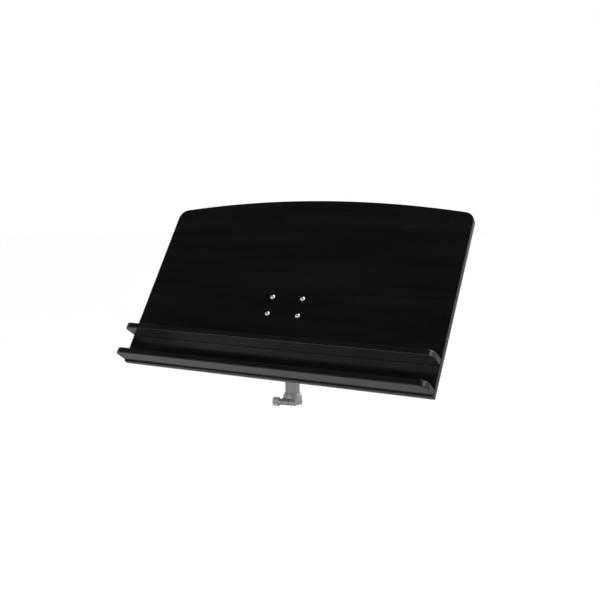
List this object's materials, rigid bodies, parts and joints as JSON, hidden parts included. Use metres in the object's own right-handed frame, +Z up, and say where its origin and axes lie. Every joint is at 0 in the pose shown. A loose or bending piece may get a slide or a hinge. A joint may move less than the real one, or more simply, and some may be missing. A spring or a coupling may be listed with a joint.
{
  "type": "music stand desk",
  "caption": "Wide orchestra music stand desk: arched lacquered board with double ledges, friction tilt head and a stem that slides and turns in a pinch collar.",
  "frame": {"origin": "centre of the clamp collar's underside, on the axis of the stem and of the stand's column", "axes": "+Z up along the stem, +X along the width of the desk, the desk's front faces -Y and leans back from vertical"},
  "size_m": [0.7, 0.268, 0.419],
  "materials": {
    "black_lacquer": "black lacquer over fine-grained plywood, semi-gloss",
    "zinc_steel": "bright zinc plated",
    "satin_grey": "light grey satin",
    "black_steel": "black powder coat, fine texture",
    "grey_plastic": "light grey satin moulding",
    "black_plastic": "black satin moulding",
    "brass": "turned"
  },
  "bodies": {
    "clamp": {"clamp_collar": "satin_grey", "clamp_stud": "zinc_steel", "clamp_washer": "zinc_steel"},
    "clamp_grip": {"clamp_knob": "grey_plastic", "clamp_knob_insert": "brass"},
    "sleeve": {"guide_sleeve": "black_plastic"},
    "stem": {"stem_tube": "satin_grey", "tilt_head": "satin_grey", "head_pin": "zinc_steel", "friction_washer_left": "black_plastic", "friction_washer_right": "black_plastic", "stem_end_plug": "black_plastic"},
    "desk": {"desk_panel": "black_lacquer", "lower_ledge": "black_lacquer", "upper_ledge": "black_lacquer", "lower_ledge_screw_1": "zinc_steel", "lower_ledge_screw_2": "zinc_steel", "lower_ledge_screw_3": "zinc_steel", "lower_ledge_screw_4": "zinc_steel", "lower_ledge_screw_5": "zinc_steel", "upper_ledge_screw_1": "zinc_steel", "upper_ledge_screw_2": "zinc_steel", "upper_ledge_screw_3": "zinc_steel", "upper_ledge_screw_4": "zinc_steel", "upper_ledge_screw_5": "zinc_steel", "panel_bolt_1": "zinc_steel", "panel_bolt_2": "zinc_steel", "panel_bolt_3": "zinc_steel", "panel_bolt_4": "zinc_steel", "panel_nut_1": "zinc_steel", "panel_nut_2": "zinc_steel", "panel_nut_3": "zinc_steel", "panel_nut_4": "zinc_steel", "tilt_bracket": "black_steel", "tilt_bolt": "zinc_steel", "tilt_washer": "zinc_steel"},
    "tilt_grip": {"tilt_knob": "black_plastic", "tilt_knob_insert": "brass"}
  },
  "joints": [
    {"name": "desk_swivel", "type": "hinge", "parent": "clamp", "child": "sleeve", "pos_m": [0, 0, 0.014], "axis": [0, 0, 1], "continuous": true},
    {"name": "stem_height", "type": "slide", "parent": "sleeve", "child": "stem", "axis": [0, 0, 1], "range_m": [-0.1, 0]},
    {"name": "desk_tilt", "type": "hinge", "parent": "stem", "child": "desk", "pos_m": [0, 0, 0.1855], "axis": [-1, 0, 0], "range_deg": [-13.5, 56.5]},
    {"name": "tilt_knob_turn", "type": "hinge", "parent": "desk", "child": "tilt_grip", "pos_m": [0.045, 0, 0.1855], "axis": [1, 0, 0], "continuous": true},
    {"name": "clamp_knob_turn", "type": "hinge", "parent": "clamp", "child": "clamp_grip", "pos_m": [-0.02213, -0.0272, 0.007], "axis": [0.9781, 0.2079, 0], "continuous": true}
  ]
}
